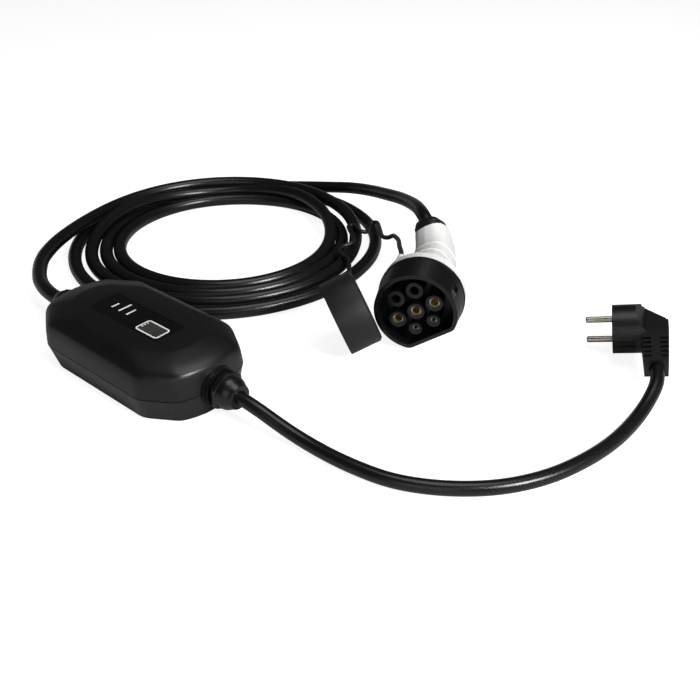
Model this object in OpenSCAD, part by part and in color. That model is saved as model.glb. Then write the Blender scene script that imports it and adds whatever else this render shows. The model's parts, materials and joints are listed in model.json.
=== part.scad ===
// Portable car charger: control box, mains lead with plug, coiled vehicle cable,
// vehicle connector and its tethered dust cap. Origin: bottom centre of the box.
// +X runs along the box to the mains gland, +Y to the coil, +Z up. Millimetres.

/* [Control box] */
// Box length at the seam
box_length = 165; // [156:1:180]
// Box width at the seam
box_width = 89; // [84:1:98]
// Box height
box_height = 45; // [43:0.5:52]
// Wall thickness of both halves
wall = 3; // [2.6:0.1:3.2]
// Depth of the panel recess
panel_depth = 1.2; // [0.8:0.1:1.4]
// Length of the front panel recess
panel_length = 77; // [70:1:84]
// Width of the front panel recess
panel_width = 25.6; // [22:0.2:28]

/* [Cables] */
// Mains lead diameter
mains_d = 9.5; // [8:0.1:10.4]
// Vehicle cable diameter
vehicle_d = 12; // [10.5:0.1:12.4]
// Turns in the coil
coil_turns = 4; // [3:1:4]
// Radius of the innermost turn, to the middle of the cable
coil_inner = 99.5; // [90:0.5:104]
// Tether diameter
tether_d = 4; // [3.2:0.1:4.4]

/* [Cable glands] */
// Outer diameter of the gland flange
flange_d = 27; // [25:0.5:28]
// Nut size across flats
nut_af = 25; // [24:0.5:26]
// Locknut size across flats
locknut_af = 22; // [20:0.5:23]
// Diameter of the gland thread in the box wall
gland_d = 16; // [15.5:0.1:17]

/* [Vehicle connector] */
// Outer radius of the collar at its front rim
collar_r = 31.7; // [31:0.1:32.4]
// Collar wall
collar_wall = 3; // [2.4:0.1:3.2]
// Collar depth
collar_depth = 27; // [25:0.5:29]
// Spacing of the power contacts
contact_pitch = 16; // [15.5:0.1:16.6]
// Outer diameter of a power contact
power_d = 8; // [7:0.1:8.4]
// Bore of a power contact
power_bore = 6; // [5:0.1:6.2]
// Outer diameter of a pilot contact
pilot_d = 5; // [4.6:0.1:5.4]
// Bore of a pilot contact
pilot_bore = 3; // [2.4:0.1:3.2]

/* [Dust cap] */
// Outer radius of the cap
cap_r = 28.7; // [27:0.1:29]
// Depth of the cap
cap_depth = 26; // [22:0.5:27]
// Wall of the cap
cap_wall = 2.5; // [2:0.1:3]

/* [Mains plug] */
// Diameter of the plug body
plug_d = 37; // [35:0.5:37]
// Pin diameter
pin_d = 4.8; // [4:0.1:5]
// Pin length outside the body
pin_length = 19; // [18:0.5:20]
// Distance between the pin axes
pin_pitch = 19; // [18:0.5:20]

/* [Fits] */
// Free space around pieces that are pushed together
fit = 0.15; // [0.1:0.05:0.25]
// Free space around soft pieces and cables
soft_fit = 0.3; // [0.3:0.05:0.5]

/* [Hidden] */
$fn = 48;
seam_z = 20;
seam_gap = 0.1;
floor_in = [6, 8];
edge_break = 1.6;
corner_run = 30;
corner_step = 14;
end_bow = 7;
arc_steps = 6;
corner_soft = 5;
top_z = box_height;
panel_at = [1, -1.9];
board_t = 1.6;
board_z = wall + 6;
board_top = board_z + board_t;
board_in = [57, 29];
board_l = box_length - board_in[0];
board_w = box_width - board_in[1];
screw_in = [18.5, 20.5];
screw_at = [box_length / 2 - screw_in[0], box_width / 2 - screw_in[1]];
standoff_in = 5;
standoff_at = [board_l / 2 - standoff_in, board_w / 2 - standoff_in];
standoff_d = 6;
boss_r = 4.2;
screw_d = 3;
small_screw_d = 2;
screw_head = [5.6, 2.6];
small_head = [4, 1.5];
head_pocket = 5;
screw_length = 23;
small_screw_grip = 4.6;
relay_size = [20, 15, 16];
relay_at = [-6, 5.5];
sensor_from = 17;
sensor_t = 10;
sensor_d = 22;
sensor_bore = 12;
supply_in = 15;
supply_size = [28, 22, 18];
capacitor_size = [10, 18];
capacitor_in = [22, 34];
bar_at = [[-24, -0.5, 6.8], [-15.5, 1.6, 11.4], [-6.9, 0.3, 8.6]];
bar_w = 1.7;
led_d = 3;
hang_at = [[-31, 4], [31, 4]];
ind_board_z = top_z - 6.2;
ind_board_t = 1.2;
ind_board_size = [70, 18];

// gland stations along its own axis, counted from the seat face
seat_face = box_length / 2 + 0.7;
seat_r = flange_d / 2 + 1.2;
seat_t = 7.2;
flange_t = 3;
thread_end = 12.5;
nut_from = 4.4;
nut_to = 15.8;
nose_to = 19.8;
seal_from = 13.2;
seal_to = 15.9;
seal_r = 7.7;
thread_r = 9.2;
cable_stop = seat_face - 14.2;
core_d = 2.6;
terminal_t = 12;
terminal_x = board_l / 2 - terminal_t;

// where things lie around the box
side_shift = box_width / 2 - 44.5;
end_shift = box_length / 2 - 82.5;
coil_pitch = vehicle_d + soft_fit;
coil_width = (coil_turns - 1) * coil_pitch + 8;
coil_outer = coil_inner + coil_width + vehicle_d / 2;
coil_at = [-108, 187 + side_shift, 0];
lie_v = vehicle_d / 2 + 0.1;
lie_m = mains_d / 2 + 0.1;

// connector: front rim centre, heading and roll of the flat
conn_pos = [143.4, 142.1 + side_shift, 34.3];
conn_yaw = -66;
conn_roll = -56.5;
collar_flat = 25;
collar_grow = 1.7;
lip_r = 33.9;
tower_recess = 3;
contact_recess = 5;
base_t = 6;
power_at = [[-contact_pitch, 0], [0, 0], [contact_pitch, 0]];
empty_at = [[-contact_pitch / 2, -15.5], [contact_pitch / 2, -15.5]];
pilot_at = [[-contact_pitch / 2, 12.8], [contact_pitch / 2, 12.8]];
power_tower = 13;
pilot_tower = 10;
empty_bore = 7;
contact_rear = collar_depth + 9;
flange_from = collar_depth + 0.3;
flange_to = collar_depth + 9;
handle_wall = 3;
// distance behind the rim, bend, half width, half height, lean, sideways
handle_sections = [
    [flange_to - 0.1, 0, 31, 31, 0], [39, 0, 29.4, 29.4, 0], [44, 0, 26.4, 26.8, 0], [49, 0, 24.2, 24.8, 0],
    [54, 0, 22.4, 23.2, 0], [60, 0, 20.5, 21.3, 0], [66, 0, 19, 19.8, 0], [73, 0, 17.7, 18.5, 0],
    [80, 0, 16.8, 17.6, 0], [90, -0.4, 16.4, 17.2, 7], [98, -2.1, 16, 16.8, 17], [106, -5.5, 15.4, 16.2, 28],
    [112.5, -9.6, 14.8, 15.4, 36], [118.7, -14.8, 13.9, 14.5, 43]
];
handle_past = [120.2, -16.2, 13.9, 14.5, 43];
boot_sections = [
    [118.95, -15.05, 13.5, 14.1, 43], [121.5, -17.5, 12.9, 13.3, 43, 0.4],
    [124.5, -20.3, 11.4, 11.6, 43, 1.2], [127.5, -23.1, 9.4, 9.5, 43, 2.1], [130.3, -25.8, 8.1, 8.1, 43, 3]
];
// cable inside the connector, from its end to the boot mouth: distance, bend, sideways
inner_run = [
    [88, -0.3, 0], [98, -2.1, 0], [106, -5.5, 0], [112.5, -9.6, 0], [118.7, -14.8, 0], [124.5, -20.3, 1.2],
    [130.3, -25.8, 3]
];
boot_bore = [[117, -13.2, 0], [124.5, -20.3, 1.2], [131.5, -26.9, 3.4]];
clamp_at = [89.5, 96];
clamp_bend = -1.1;
clamp_d = 20;
clamp_fit = 0.9;
core_in = 0.19;
lug_at = [4.6, -30.4];
lug_end = 44;
handle_screw_at = [[66, -10], [101.5, -13]];

// dust cap: middle, tilt and heading
cap_pos = [103, 116.2 + side_shift, 32];
cap_turn = [0, 68, 52.8];
cap_lug = [4, 32.2, 9];

// plug: face centre and attitude; its x is the pin direction, y the neck, z the pin line
plug_pos = [258.8 + end_shift, 239.8, 18.6];
plug_turn = [-8, 12, 202];
plug_depth = 21;
neck_x = -29.5;
neck_end = 46;
neck_grip = 14;
pin_inside = 12;
pin_step = 0.8;
clip_w = 6;
clip_t = 1;

function unit(v) = v / norm(v);
function turn(v, a) =
    let (p = [v.x, v.y * cos(a.x) - v.z * sin(a.x), v.y * sin(a.x) + v.z * cos(a.x)])
    let (q = [p.x * cos(a.y) + p.z * sin(a.y), p.y, p.z * cos(a.y) - p.x * sin(a.y)])
    [q.x * cos(a.z) - q.y * sin(a.z), q.x * sin(a.z) + q.y * cos(a.z), q.z];
function conn_pt(x, y, s) = conn_pos + turn(turn([x, y, -s], [0, 0, conn_roll]), [0, 90, conn_yaw]);
function plug_pt(v) = plug_pos + turn(v, plug_turn);
function cap_pt(v) = cap_pos + turn(v, cap_turn);
function by_coil(a, past, z) = coil_at + [(coil_outer + past) * cos(a), (coil_outer + past) * sin(a), z];
function behind(x, y, z) = [x, y + side_shift, z];

function ring(c, t, r, n) =
    let (s = unit(cross(t, [0, 0, 1])), u = cross(t, s))
    [for (k = [0:n - 1]) c + r * (cos(360 * k / n) * s + sin(360 * k / n) * u)];
function tangent(p, i) = unit(p[min(i + 1, len(p) - 1)] - p[max(i - 1, 0)]);
function flat(rows) = [for (row = rows) for (p = row) p];

function end_arc(hx, hy) =
    let (c = hy - corner_step, r = (end_bow * end_bow + c * c) / (2 * end_bow), a = asin(c / r))
    [for (k = [0:arc_steps]) let (b = -a + 2 * a * k / arc_steps) [hx - r + r * cos(b), r * sin(b)]];
function soften(p, q, r) =
    let (d = min(corner_soft, 0.45 * norm(p - q), 0.45 * norm(r - q)))
    let (a = q + d * unit(p - q), b = q + d * unit(r - q))
    [for (k = [0:3]) let (t = k / 3) (1 - t) * (1 - t) * a + 2 * t * (1 - t) * q + t * t * b];
function plan(l, w) =
    let (hx = l / 2, hy = w / 2, e = end_arc(hx, hy), m = len(e) - 1, top = [hx - corner_run, hy])
    let (half = concat(
        soften([top.x, -top.y], e[0], e[1]), [for (k = [1:m - 1]) e[k]], soften(e[m - 1], e[m], top),
        soften(e[m], top, [-top.x, top.y]), soften(top, [-top.x, top.y], [-e[0].x, -e[0].y])))
    concat(half, [for (p = half) -p]);
function lift(points, z) = [for (p = points) [p.x, p.y, z]];

function bump(a) = sign(a) * pow(abs(a), 0.78);
function sideways(v) = len(v) > 5 ? v[5] : 0;
function section(v, less, n) =
    [for (k = [0:n - 1])
        let (w = (v[2] - less) * bump(cos(360 * k / n)))
        let (h = (v[3] - less) * bump(sin(360 * k / n)))
        [sideways(v) + w, v[1] + h * cos(v[4]), -v[0] - h * sin(v[4])]];

// solid through a list of rings that all have the same number of points
module loft(rows) {
    n = len(rows[0]);
    m = len(rows);
    sides = [for (i = [0:m - 2]) for (k = [0:n - 1]) let (j = (k + 1) % n)
        each [[i * n + k, i * n + j, (i + 1) * n + j], [i * n + k, (i + 1) * n + j, (i + 1) * n + k]]];
    caps = [[for (k = [0:n - 1]) n - 1 - k], [for (k = [0:n - 1]) (m - 1) * n + k]];
    polyhedron(flat(rows), [for (f = concat(sides, caps)) [f[0], each [for (k = [len(f) - 1:-1:1]) f[k]]]]);
}

module tube(route, d, n = 12) {
    loft([for (i = [0:len(route) - 1]) ring(route[i], tangent(route, i), d / 2, n)]);
}

module shell_form(stations) {
    loft([for (s = stations) lift(plan(s[1], s[2]), s[0])]);
}

bottom_form = [
    [0, box_length - floor_in[0] - 3, box_width - floor_in[1] - 3],
    [edge_break, box_length - floor_in[0], box_width - floor_in[1] + 0.6],
    [seam_z, box_length, box_width]
];
bottom_hollow = [
    [wall, box_length - floor_in[0] - 2 * wall, box_width - floor_in[1] - 2 * wall],
    [seam_z + 1, box_length - 2 * wall, box_width - 2 * wall]
];
// below the roof: how much shorter and narrower than at the seam
cover_round = [
    [15, 1, 2], [10.5, 1.6, 4], [8.5, 2.3, 5.8], [7.5, 2.9, 7.2], [6.5, 4, 9], [5.5, 7, 11],
    [4.5, 11.5, 13.2], [3.5, 17.5, 15.6], [2.5, 25, 18], [1.7, 31.5, 20.8], [1, 37, 23.6],
    [0.4, 42, 26.8], [0, 46, 30]
];
cover_form = concat([[seam_z + seam_gap, box_length, box_width]],
    [for (c = cover_round) [top_z - c[0], box_length - c[1], box_width - c[2]]]);
cover_hollow = [
    [seam_z - 1, box_length - 2 * wall, box_width - 2 * wall],
    [top_z - 15, box_length - 1 - 2 * wall, box_width - 2 - 2 * wall],
    [top_z - 9, box_length - 11 - 2 * wall, box_width - 9 - 2 * wall],
    [top_z - wall - 2.3, box_length - 28 - 2 * wall, box_width - 18 - 2 * wall],
    [top_z - wall, box_length - 46 - 2 * wall, box_width - 30 - 2 * wall]
];

module rim(inset, width, z, h) {
    translate([0, 0, z])
        linear_extrude(h)
            difference() {
                polygon(plan(box_length - 2 * inset, box_width - 2 * inset));
                polygon(plan(box_length - 2 * (inset + width), box_width - 2 * (inset + width)));
            }
}

module four(at) {
    for (sx = [-1, 1])
        for (sy = [-1, 1])
            translate([sx * at[0], sy * at[1], 0])
                children();
}

module rod_x(from, to, d) {
    translate([from, 0, 0])
        rotate([0, 90, 0])
            cylinder(d = d, h = to - from);
}

module seats() {
    for (side = [0, 180])
        rotate([0, 0, side])
            translate([0, 0, seam_z])
                rod_x(seat_face - seat_t, seat_face, 2 * seat_r);
}

module seat_holes() {
    for (side = [0, 180])
        rotate([0, 0, side])
            translate([0, 0, seam_z])
                rod_x(seat_face - seat_t - 4, seat_face + 1, gland_d + 2 * fit);
}

module below_seam() {
    translate([-150, -100, 0])
        cube([300, 200, seam_z]);
}

module above_seam() {
    translate([-150, -100, seam_z + seam_gap])
        cube([300, 200, 80]);
}

module bottom_shell() {
    color("#1c1d1f")
        difference() {
            union() {
                difference() {
                    shell_form(bottom_form);
                    shell_form(bottom_hollow);
                }
                intersection() {
                    seats();
                    below_seam();
                }
                four(screw_at)
                    translate([0, 0, wall / 2])
                        cylinder(r = boss_r, h = seam_z - wall / 2);
                four(standoff_at)
                    translate([0, 0, wall / 2])
                        cylinder(d = standoff_d, h = board_z - wall / 2);
            }
            seat_holes();
            four(screw_at) {
                translate([0, 0, -1])
                    cylinder(d = screw_d + 0.4, h = seam_z + 2);
                translate([0, 0, -1])
                    cylinder(d = screw_head[0] + 1, h = head_pocket + 1);
            }
            four(standoff_at)
                translate([0, 0, board_z - 5])
                    cylinder(d = small_screw_d + 2 * fit, h = 6);
            rim(0.9, 1.2, seam_z - 1.2, 2);
        }
}

module top_cover() {
    color("#1f2022")
        difference() {
            union() {
                difference() {
                    shell_form(cover_form);
                    shell_form(cover_hollow);
                }
                intersection() {
                    seats();
                    above_seam();
                }
                intersection() {
                    shell_form(cover_form);
                    four(screw_at)
                        translate([0, 0, seam_z + seam_gap])
                            cylinder(r = boss_r, h = top_z);
                }
                for (p = hang_at)
                    translate([p.x, p.y, ind_board_z + ind_board_t + 0.1])
                        cylinder(d = 5, h = top_z - 1.5 - panel_depth - ind_board_z - ind_board_t);
            }
            seat_holes();
            rim(-2, 2.6, seam_z, 0.6);
            four(screw_at)
                translate([0, 0, seam_z - 1])
                    cylinder(d = screw_d + 2 * fit, h = 14);
            translate([panel_at.x - panel_length / 2, panel_at.y - panel_width / 2, top_z - panel_depth])
                cube([panel_length, panel_width, 5]);
            for (b = bar_at)
                translate([b.x, b.y, top_z - wall - 1])
                    cylinder(d = led_d + 0.4, h = wall + 2);
            for (p = hang_at)
                translate([p.x, p.y, ind_board_z])
                    cylinder(d = small_screw_d + 2 * fit, h = 3.6);
        }
}

module housing_seal() {
    color("#2b2b2b")
        difference() {
            rim(0.9 + 0.1, 1, seam_z - 1.2, 1.2);
            for (side = [0, 180])
                rotate([0, 0, side])
                    translate([0, 0, seam_z])
                        rod_x(seat_face - 12, seat_face, gland_d + 1);
        }
}

module front_panel() {
    color("#0e0f10")
        translate([panel_at.x, panel_at.y, top_z - panel_depth])
            difference() {
                translate([-panel_length / 2 + fit, -panel_width / 2 + fit, 0])
                    cube([panel_length - 2 * fit, panel_width - 2 * fit, panel_depth - 0.3]);
                for (b = bar_at)
                    translate([b.x - panel_at.x - bar_w / 2, b.y - panel_at.y - b.z / 2, -1])
                        cube([bar_w, b.z, 4]);
            }
}

module light_windows() {
    color("#f2f2f0")
        for (b = bar_at)
            translate([b.x - bar_w / 2 + 0.1, b.y - b.z / 2 + 0.1, top_z - panel_depth])
                cube([bar_w - 0.2, b.z - 0.2, panel_depth - 0.25]);
}

module indicator_board() {
    color("#1f5a38")
        difference() {
            translate([-ind_board_size.x / 2, -ind_board_size.y / 2, ind_board_z])
                cube([ind_board_size.x, ind_board_size.y, ind_board_t]);
            for (p = hang_at)
                translate([p.x, p.y, ind_board_z - 1])
                    cylinder(d = small_screw_d + 0.4, h = 4);
        }
}

module indicator_leds() {
    color("#dfe9dc")
        for (b = bar_at)
            translate([b.x, b.y, ind_board_z + ind_board_t])
                cylinder(d = led_d, h = top_z - panel_depth - 0.2 - ind_board_z - ind_board_t);
}

module indicator_screws() {
    color("#b9bcc0")
        for (p = hang_at)
            translate([p.x, p.y, ind_board_z - small_head[1]]) {
                cylinder(d = small_head[0], h = small_head[1]);
                cylinder(d = small_screw_d, h = small_head[1] + 3.2);
            }
}

module circuit_board() {
    color("#215c3a")
        difference() {
            translate([-board_l / 2, -board_w / 2, board_z])
                cube([board_l, board_w, board_t]);
            four(standoff_at)
                translate([0, 0, board_z - 1])
                    cylinder(d = small_screw_d + 0.4, h = 4);
        }
}

module board_screws() {
    color("#b9bcc0")
        four(standoff_at) {
            translate([0, 0, board_top])
                cylinder(d = small_head[0], h = small_head[1]);
            translate([0, 0, board_z - small_screw_grip])
                cylinder(d = small_screw_d, h = small_screw_grip + board_t + 0.1);
        }
}

module housing_screws() {
    color("#a9acb0")
        four(screw_at) {
            translate([0, 0, head_pocket - screw_head[1]])
                cylinder(d = screw_head[0], h = screw_head[1]);
            translate([0, 0, head_pocket - 0.1])
                cylinder(d = screw_d, h = screw_length);
        }
}

module relays() {
    color("#26384f")
        for (sy = [-1, 1])
            translate([relay_at.x, sy * (relay_at.y + relay_size.y / 2) - relay_size.y / 2, board_top])
                cube(relay_size);
}

module leakage_sensor() {
    color("#2e2f33")
        translate([0, 0, board_top + sensor_d / 2])
            difference() {
                rod_x(sensor_from, sensor_from + sensor_t, sensor_d);
                rod_x(sensor_from - 1, sensor_from + sensor_t + 1, sensor_bore);
            }
}

module supply_module() {
    color("#33363a")
        translate([supply_in - board_l / 2, 3, board_top])
            cube(supply_size);
}

module supply_capacitors() {
    color("#3b3f66")
        for (x = capacitor_in)
            translate([x - board_l / 2, -14, board_top])
                cylinder(d = capacitor_size[0], h = capacitor_size[1]);
}

mains_core_at = [[-3.4, 0], [0, 0], [3.4, 0]];
vehicle_core_at = [[0, 0], [4, 0], [-4, 0], [0, 4], [0, -4]];

module terminal(cores) {
    difference() {
        translate([terminal_x, -11, board_top])
            cube([terminal_t, 22, seam_z + 6 - board_top]);
        translate([0, 0, seam_z])
            for (c = cores)
                translate([0, c[0], c[1]])
                    rod_x(terminal_x + terminal_t - 4, terminal_x + terminal_t + 1, core_d + 2 * fit);
        for (y = [-7, 0, 7])
            translate([terminal_x + 4, y, seam_z + 4])
                cylinder(d = 4, h = 6);
    }
}

module cores(list) {
    translate([0, 0, seam_z])
        for (c = list)
            translate([0, c[0], c[1]])
                rod_x(terminal_x + terminal_t - 3.5, cable_stop - 0.1, core_d);
}

module mains_terminal() {
    color("#3e7a4e")
        terminal(mains_core_at);
}

module vehicle_terminal() {
    color("#3e7a4e")
        rotate([0, 0, 180])
            terminal(vehicle_core_at);
}

module mains_cores() {
    color("#a86a3c")
        cores(mains_core_at);
}

module vehicle_cores() {
    color("#a86a3c")
        rotate([0, 0, 180])
            cores(vehicle_core_at);
}

module at_gland() {
    translate([seat_face, 0, seam_z])
        children();
}

module gland_body(cable) {
    at_gland()
        difference() {
            union() {
                rod_x(0.05, flange_t, flange_d);
                rod_x(-13, 0.1, gland_d);
                rod_x(flange_t - 0.1, thread_end, 2 * thread_r);
            }
            rod_x(-14, thread_end + 1, cable + 2 * soft_fit);
        }
}

module gland_seal(cable) {
    at_gland()
        difference() {
            rod_x(seal_from, seal_to, 2 * seal_r);
            rod_x(seal_from - 1, seal_to + 1, cable + 2 * soft_fit);
        }
}

module gland_nut(cable) {
    at_gland()
        difference() {
            union() {
                intersection() {
                    translate([nut_from, 0, 0])
                        rotate([0, 90, 0])
                            cylinder(d = nut_af / cos(30), h = nut_to - nut_from, $fn = 6);
                    union() {
                        rod_x(nut_from, nut_to - 2, 2 * nut_af);
                        translate([nut_to - 2.01, 0, 0])
                            rotate([0, 90, 0])
                                cylinder(d1 = nut_af + 4, d2 = nut_af - 4, h = 2.01);
                    }
                }
                rod_x(nut_to - 0.1, nose_to, 17.4);
            }
            rod_x(nut_from - 1, thread_end + 0.4, 2 * (thread_r + fit));
            rod_x(thread_end, seal_to + 0.2, 2 * (seal_r + fit));
            rod_x(seal_to, nose_to + 1, cable + 2 * soft_fit);
        }
}

module gland_locknut() {
    at_gland()
        difference() {
            translate([-seat_t - 5.1, 0, 0])
                rotate([0, 90, 0])
                    cylinder(d = locknut_af / cos(30), h = 5, $fn = 6);
            rod_x(-seat_t - 6, 0, gland_d + 2 * fit);
        }
}

module mains_gland_body() {
    color("#191a1b")
        gland_body(mains_d);
}

module mains_gland_seal() {
    color("#2b2b2b")
        gland_seal(mains_d);
}

module mains_gland_nut() {
    color("#191a1b")
        gland_nut(mains_d);
}

module mains_gland_locknut() {
    color("#191a1b")
        gland_locknut();
}

module vehicle_gland_body() {
    color("#191a1b")
        rotate([0, 0, 180])
            gland_body(vehicle_d);
}

module vehicle_gland_seal() {
    color("#2b2b2b")
        rotate([0, 0, 180])
            gland_seal(vehicle_d);
}

module vehicle_gland_nut() {
    color("#191a1b")
        rotate([0, 0, 180])
            gland_nut(vehicle_d);
}

module vehicle_gland_locknut() {
    color("#191a1b")
        rotate([0, 0, 180])
            gland_locknut();
}

mains_route = [
    [cable_stop, 0, seam_z], [end_shift + 86, 0, seam_z], [end_shift + 104, 0, seam_z],
    [end_shift + 120, 1, 17], [end_shift + 138, 4, 10], [end_shift + 157, 6, lie_m + 1],
    [end_shift + 178, 7, lie_m], [end_shift + 198, 9, lie_m], [end_shift + 217, 13, lie_m],
    [end_shift + 235, 21, lie_m], [end_shift + 252, 32, lie_m], [end_shift + 268, 46, lie_m],
    [end_shift + 281, 62, lie_m], [end_shift + 292, 81, lie_m], [end_shift + 301, 105, lie_m],
    [end_shift + 307, 130, lie_m], [end_shift + 310, 152, 6.5], [end_shift + 311, 174, 10],
    plug_pt([neck_x, neck_end + 14, 0]), plug_pt([neck_x, neck_end, 0]),
    plug_pt([neck_x, neck_end - neck_grip, 0])
];

// over the coil: angle round it and distance past its outer edge
over_z = vehicle_d * 1.5 + soft_fit;
lead_in_over = [
    [244, 22], [233, 10.6], [222, -2.2], [208, -12], [193, -17.2], [177, -20.6], [160, -23.8], [144, -27.2],
    [127, -30], [110, -31], [93, -31], [76, -31.6], [62, -30.6]
];
lead_in_route = concat(
    [
        [-cable_stop, 0, seam_z], [-end_shift - 86, 0, seam_z], [-end_shift - 106, 0, seam_z],
        [-end_shift - 122, 1, seam_z], [-end_shift - 144, 7, over_z + 1],
        [-end_shift - 163, 17, over_z + 0.5]
    ],
    [for (p = lead_in_over) by_coil(p[0], p[1], over_z)]
);

lead_out_route = concat(
    [
        by_coil(123, 7, lie_v), by_coil(112, 7, lie_v + 0.6), by_coil(101, 7, 9), by_coil(90, 6.6, 14),
        behind(-77, 338, 20), behind(-43, 329, 28), behind(-5, 311, 38), behind(16, 300, 43.5),
        behind(37, 286, 49), behind(56, 271, 53.5), behind(68, 260, 55)
    ],
    [for (k = [len(inner_run) - 1:-1:0]) let (p = inner_run[k]) conn_pt(p[2], p[1], p[0])]
);

tether_route = concat(
    [conn_pt(lug_at.x, lug_at.y, lug_end + 0.1)],
    [
        behind(99, 185, 55), behind(88, 198, 52), behind(74, 216, 47), behind(58, 231, 41),
        behind(51, 234, 36), behind(39, 241, 31), behind(22, 260, 26), behind(2, 281, 21),
        behind(-4, 281, 18), behind(4, 266, 17.5), behind(5, 257, 19), behind(-3, 258, 21),
        behind(-13, 259, 21.5), behind(-9, 252, 21), behind(4, 242, 20), behind(11, 233, 19),
        behind(6, 225, 18), behind(7, 217, 17.5), behind(14, 212, 16.5), behind(20, 213, 15.5),
        behind(29, 205, 14.6), behind(38, 194, 15), behind(50, 180, 19), behind(63, 164, 26)
    ],
    [cap_pt(cap_lug + [0, 11, 0]), cap_pt(cap_lug + [0, 0.1, 0])]
);

module mains_lead() {
    color("#1b1b1c")
        tube(mains_route, mains_d);
}

module vehicle_cable_lead_in() {
    color("#1b1b1c")
        tube(lead_in_route, vehicle_d);
}

module vehicle_cable_lead_out() {
    color("#1b1b1c")
        tube(lead_out_route, vehicle_d);
}

module vehicle_cable_coil() {
    color("#1b1b1c")
        translate(coil_at)
            rotate_extrude($fn = 96)
                union() {
                    for (k = [0:coil_turns - 1])
                        translate([coil_inner + k * coil_width / (coil_turns - 1), lie_v])
                            circle(d = vehicle_d, $fn = 32);
                    translate([coil_inner, lie_v - vehicle_d * 0.3])
                        square([coil_width, vehicle_d * 0.6]);
                }
}

module at_plug() {
    translate(plug_pos)
        rotate(plug_turn)
            children();
}

module plug_block(x, y, z, size) {
    translate([x, y, z] - size / 2)
        cube(size);
}

module plug_body() {
    color("#1d1d1f")
        at_plug()
            difference() {
                union() {
                    rod_x(-plug_depth, 0, plug_d);
                    hull() {
                        rod_x(-plug_depth - 1, -plug_depth + 1, plug_d - 3);
                        plug_block(-36, 1, 0, [3, 24, 17]);
                    }
                    hull() {
                        plug_block(neck_x, 6, 0, [19, 12, 17]);
                        plug_block(neck_x, neck_end - 1, 0, [16, 2, 15]);
                    }
                }
                for (z = [-pin_pitch / 2, pin_pitch / 2])
                    translate([0, 0, z])
                        rod_x(-pin_inside - fit, 1, pin_d - pin_step + 2 * fit);
                translate([neck_x, neck_end - neck_grip - 0.3, 0])
                    rotate([-90, 0, 0])
                        cylinder(d = mains_d + 2 * soft_fit, h = neck_grip + 2);
                for (sy = [-1, 1])
                    translate([-16.4, sy * plug_d / 2 - 2.4, -clip_w / 2 - 0.2])
                        cube([20, 4.8, clip_w + 0.4]);
                for (k = [0:4])
                    for (sx = [-1, 1])
                        for (sz = [-1, 1])
                            translate([neck_x + sx * 6.4 - 3.4, 20.5 + 4.8 * k, sz * 8 - 1.4])
                                cube([6.8, 2.4, 2.8]);
            }
}

module plug_pins() {
    color("#c9c7bf")
        at_plug()
            for (z = [-pin_pitch / 2, pin_pitch / 2])
                translate([0, 0, z])
                    rotate([0, 90, 0])
                        translate([0, 0, -pin_inside])
                            rotate_extrude()
                                union() {
                                    square([(pin_d - pin_step) / 2, pin_inside + 1]);
                                    translate([0, pin_inside + 0.05])
                                        square([pin_d / 2, pin_length - 1.25]);
                                    translate([0, pin_inside + pin_length - 1.3])
                                        square([pin_d / 2 - 1.2, 1.3]);
                                    translate([pin_d / 2 - 1.2, pin_inside + pin_length - 1.2])
                                        circle(r = 1.2, $fn = 24);
                                }
}

module earth_clips() {
    color("#c9c7bf")
        at_plug()
            for (sy = [-1, 1])
                translate([-16.2, sy * (plug_d / 2 - 1.5) - clip_t / 2, -clip_w / 2])
                    cube([16, clip_t, clip_w]);
}

module at_connector() {
    translate(conn_pos)
        rotate([0, 90, conn_yaw])
            rotate([0, 0, conn_roll])
                children();
}

module d_shape(r, flat_at, corner) {
    offset(r = corner)
        offset(delta = -corner)
            intersection() {
                circle(r = r, $fn = 72);
                translate([-50, -50])
                    square([100, 50 + flat_at]);
            }
}

module slice(s, h = 0.02) {
    translate([0, 0, -s])
        linear_extrude(h)
            children();
}

module connector_collar() {
    color("#17181a")
        at_connector()
            difference() {
                union() {
                    hull() {
                        slice(0.02)
                            d_shape(collar_r, collar_flat, 7);
                        slice(collar_depth)
                            d_shape(collar_r + collar_grow, collar_flat + collar_grow, 7);
                    }
                    translate([0, 0, -collar_depth])
                        cylinder(r = lip_r, h = 2);
                }
                slice(collar_depth + 1, collar_depth + 3)
                    d_shape(collar_r - collar_wall, collar_flat - collar_wall, 5);
                translate([-collar_r - 4, -2.6, -17])
                    cube([8, 5.2, 8]);
            }
}

module tower(at, d) {
    translate([at.x, at.y, -collar_depth])
        cylinder(d = d, h = collar_depth - tower_recess);
}

module socket(at, d, from) {
    translate([at.x, at.y, -from])
        cylinder(d = d, h = from + 1);
}

module contact_carrier() {
    color("#141517")
        at_connector()
            difference() {
                union() {
                    slice(collar_depth, base_t)
                        d_shape(collar_r - collar_wall - fit, collar_flat - collar_wall - fit, 5);
                    for (p = concat(power_at, empty_at))
                        tower(p, power_tower);
                    for (p = pilot_at)
                        tower(p, pilot_tower);
                }
                for (p = power_at)
                    socket(p, power_d + 2 * fit, collar_depth + 1);
                for (p = pilot_at)
                    socket(p, pilot_d + 2 * fit, collar_depth + 1);
                for (p = empty_at)
                    socket(p, empty_bore, 18);
            }
}

module contact(at, d, bore) {
    translate([at.x, at.y, -contact_rear])
        difference() {
            cylinder(d = d, h = contact_rear - contact_recess);
            translate([0, 0, contact_rear - 24])
                cylinder(d = bore, h = 24);
        }
}

module power_contacts() {
    color("#c79a3e")
        at_connector()
            for (p = power_at)
                contact(p, power_d, power_bore);
}

module pilot_contacts() {
    color("#cfd0cf")
        at_connector()
            for (p = pilot_at)
                contact(p, pilot_d, pilot_bore);
}

module handle_skin(list, less) {
    loft([for (k = [len(list) - 1:-1:0])
        section(list[k], less, 24)]);
}

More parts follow.
